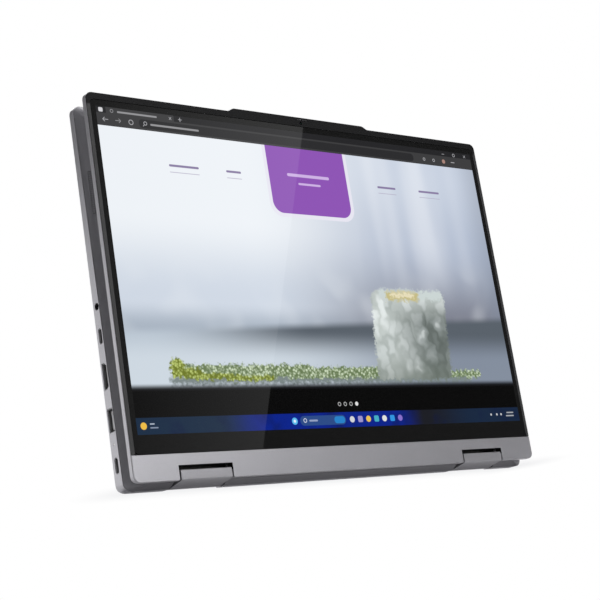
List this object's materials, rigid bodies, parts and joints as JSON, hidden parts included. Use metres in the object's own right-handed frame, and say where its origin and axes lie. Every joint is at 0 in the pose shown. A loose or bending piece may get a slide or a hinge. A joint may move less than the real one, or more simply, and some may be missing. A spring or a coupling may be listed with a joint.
{
  "type": "convertible laptop computer",
  "caption": "Slim convertible laptop with dual-axis hinges that let the screen fold from closed right round behind the keyboard; shown folded as a tablet.",
  "frame": {"origin": "middle of the underside of the box round the folded laptop, on the surface that its hinge edge stands on", "axes": "+X along the hinge line, +Z from the hinge edge to the free edges, -Y out of the screen, +Y out of the keyboard"},
  "size_m": [0.313, 0.0198, 0.227],
  "materials": {
    "grey_aluminium": "anodised, fine bead blast, violet-grey",
    "dark_aluminium": "anodised, fine bead blast, darker grey",
    "steel": "satin",
    "copper": "satin copper",
    "black_plastic": "fine moulded grain",
    "key_plastic": "fine moulded grain",
    "rubber": "matte",
    "cover_glass": "polished",
    "lens_glass": "polished",
    "display": "lit panel",
    "circuit_board": "solder mask",
    "light_guide": "clear"
  },
  "bodies": {
    "base": {"keyboard_deck": "grey_aluminium", "bottom_cover": "dark_aluminium", "cover_screw_1": "steel", "cover_screw_2": "steel", "cover_screw_3": "steel", "cover_screw_4": "steel", "touchpad_bracket": "steel", "keyboard_plate": "steel", "usb_c_socket_rear": "steel", "usb_a_socket_left": "steel", "hdmi_socket": "steel", "usb_c_socket_front": "steel", "usb_a_socket_right": "steel", "card_reader": "steel", "base_bracket_left": "steel", "base_bracket_right": "steel", "heat_pipe": "copper", "heatsink_fins": "copper", "speaker_grille_left": "black_plastic", "speaker_grille_right": "black_plastic", "audio_jack": "black_plastic", "fan_housing": "black_plastic", "speaker_left": "black_plastic", "speaker_right": "black_plastic", "battery_pack": "black_plastic", "keyboard_frame": "key_plastic", "foot_front": "rubber", "foot_rear": "rubber", "mainboard": "circuit_board", "solid_state_drive": "circuit_board", "wireless_card": "circuit_board", "charge_light": "light_guide"},
    "hinge_link": {"hinge_cap_left": "grey_aluminium", "hinge_cap_right": "grey_aluminium", "base_shaft_left": "steel", "base_shaft_right": "steel", "lid_shaft_left": "steel", "lid_shaft_right": "steel"},
    "lid": {"lid_back_cover": "grey_aluminium", "chin_strip": "grey_aluminium", "lid_rim": "rubber", "cover_glass": "cover_glass", "lcd_panel": "display", "webcam_lens": "lens_glass", "webcam_board": "circuit_board", "lid_bracket_left": "steel", "lid_bracket_right": "steel"},
    "shutter": {"camera_shutter": "black_plastic"},
    "touchpad": {"touchpad": "grey_aluminium"},
    "power_button": {"power_button": "grey_aluminium"},
    "fan_impeller": {"fan_impeller": "black_plastic"},
    "key_row_function": {"key_row_function": "key_plastic"},
    "key_row_numbers": {"key_row_numbers": "key_plastic"},
    "key_row_upper": {"key_row_upper": "key_plastic"},
    "key_row_home": {"key_row_home": "key_plastic"},
    "key_row_lower": {"key_row_lower": "key_plastic"},
    "keys_bottom_left": {"keys_bottom_left": "key_plastic"},
    "space_bar": {"space_bar": "key_plastic"},
    "keys_bottom_right": {"keys_bottom_right": "key_plastic"}
  },
  "joints": [
    {"name": "base_hinge", "type": "hinge", "parent": "base", "child": "hinge_link", "pos_m": [0, 0.0027, 0.0043], "axis": [1, 0, 0], "range_deg": [0, 180]},
    {"name": "lid_hinge", "type": "hinge", "parent": "hinge_link", "child": "lid", "pos_m": [0, -0.00755, 0.00575], "axis": [1, 0, 0], "range_deg": [0, 180]},
    {"name": "shutter_slide", "type": "slide", "parent": "lid", "child": "shutter", "axis": [-1, 0, 0], "range_m": [0, 0.0045]},
    {"name": "touchpad_click", "type": "hinge", "parent": "base", "child": "touchpad", "pos_m": [0, 0.0092, 0.1435], "axis": [1, 0, 0], "range_deg": [0, 0.4], "stiffness_Nm_per_rad": 15},
    {"name": "power_press", "type": "slide", "parent": "base", "child": "power_button", "axis": [-1, 0, 0], "range_m": [0, 0.0005], "stiffness_N_per_m": 1500},
    {"name": "fan_spin", "type": "hinge", "parent": "base", "child": "fan_impeller", "pos_m": [0.098, 0.0011, 0.057], "axis": [0, 1, 0], "continuous": true},
    {"name": "key_row_function_press", "type": "slide", "parent": "base", "child": "key_row_function", "axis": [0, -1, 0], "range_m": [0, 0.0012], "stiffness_N_per_m": 400},
    {"name": "key_row_numbers_press", "type": "slide", "parent": "base", "child": "key_row_numbers", "axis": [0, -1, 0], "range_m": [0, 0.0012], "stiffness_N_per_m": 400},
    {"name": "key_row_upper_press", "type": "slide", "parent": "base", "child": "key_row_upper", "axis": [0, -1, 0], "range_m": [0, 0.0012], "stiffness_N_per_m": 400},
    {"name": "key_row_home_press", "type": "slide", "parent": "base", "child": "key_row_home", "axis": [0, -1, 0], "range_m": [0, 0.0012], "stiffness_N_per_m": 400},
    {"name": "key_row_lower_press", "type": "slide", "parent": "base", "child": "key_row_lower", "axis": [0, -1, 0], "range_m": [0, 0.0012], "stiffness_N_per_m": 400},
    {"name": "keys_bottom_left_press", "type": "slide", "parent": "base", "child": "keys_bottom_left", "axis": [0, -1, 0], "range_m": [0, 0.0012], "stiffness_N_per_m": 400},
    {"name": "space_bar_press", "type": "slide", "parent": "base", "child": "space_bar", "axis": [0, -1, 0], "range_m": [0, 0.0012], "stiffness_N_per_m": 400},
    {"name": "keys_bottom_right_press", "type": "slide", "parent": "base", "child": "keys_bottom_right", "axis": [0, -1, 0], "range_m": [0, 0.0012], "stiffness_N_per_m": 400}
  ],
  "couplings": [
    {"joint": "lid_hinge", "follows": "base_hinge", "ratio": 1}
  ]
}
